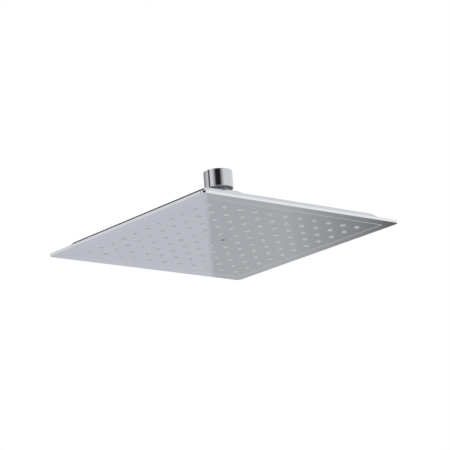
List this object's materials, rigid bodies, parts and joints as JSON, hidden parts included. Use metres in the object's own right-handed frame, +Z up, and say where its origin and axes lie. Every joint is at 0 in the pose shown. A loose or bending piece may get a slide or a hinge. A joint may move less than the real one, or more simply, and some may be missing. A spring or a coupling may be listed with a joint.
{
  "type": "shower head",
  "caption": "Square overhead rain shower head with a bevelled back, a mirror face of soft nozzles and a round half-inch threaded inlet collar on a ball joint.",
  "frame": {"origin": "centre of the inlet mouth, at the upper end of the threaded bore", "axes": "+Z up along the inlet, out of its mouth; X and Y along the sides of the square head"},
  "size_m": [0.2, 0.2, 0.0578],
  "materials": {
    "chromed_brass": "bright chrome plate on turned brass",
    "chromed_abs": "bright chrome plate on moulded plastic",
    "mirror_face": "mirror polished chrome plate",
    "grey_silicone": "soft matt translucent silicone",
    "black_rubber": "matt black rubber",
    "white_acetal": "plain moulded, slightly waxy",
    "black_abs": "plain moulded, unplated",
    "stainless_steel": "bright stainless steel"
  },
  "bodies": {
    "connector": {"inlet_connector": "chromed_brass", "inlet_washer": "black_rubber", "filter_screen": "stainless_steel", "flow_regulator": "white_acetal"},
    "swivel_ring": {"friction_ring": "white_acetal"},
    "swivel_seal": {"ball_seal": "black_rubber"},
    "head": {"ball_nut": "chromed_brass", "swivel_boss": "chromed_brass", "back_shell": "chromed_abs", "mat_retainer": "black_abs", "retainer_screws": "stainless_steel", "nozzle_mat": "grey_silicone", "face_plate": "mirror_face", "centre_screw": "stainless_steel"}
  },
  "joints": [
    {"name": "tilt_x", "type": "hinge", "parent": "connector", "child": "swivel_ring", "pos_m": [0, 0, -0.02834], "axis": [1, 0, 0], "range_deg": [-12, 12]},
    {"name": "tilt_y", "type": "hinge", "parent": "swivel_ring", "child": "swivel_seal", "pos_m": [0, 0, -0.02834], "axis": [0, 1, 0], "range_deg": [-12, 12]},
    {"name": "head_spin", "type": "hinge", "parent": "swivel_seal", "child": "head", "pos_m": [0, 0, -0.02834], "axis": [0, 0, 1], "continuous": true}
  ]
}
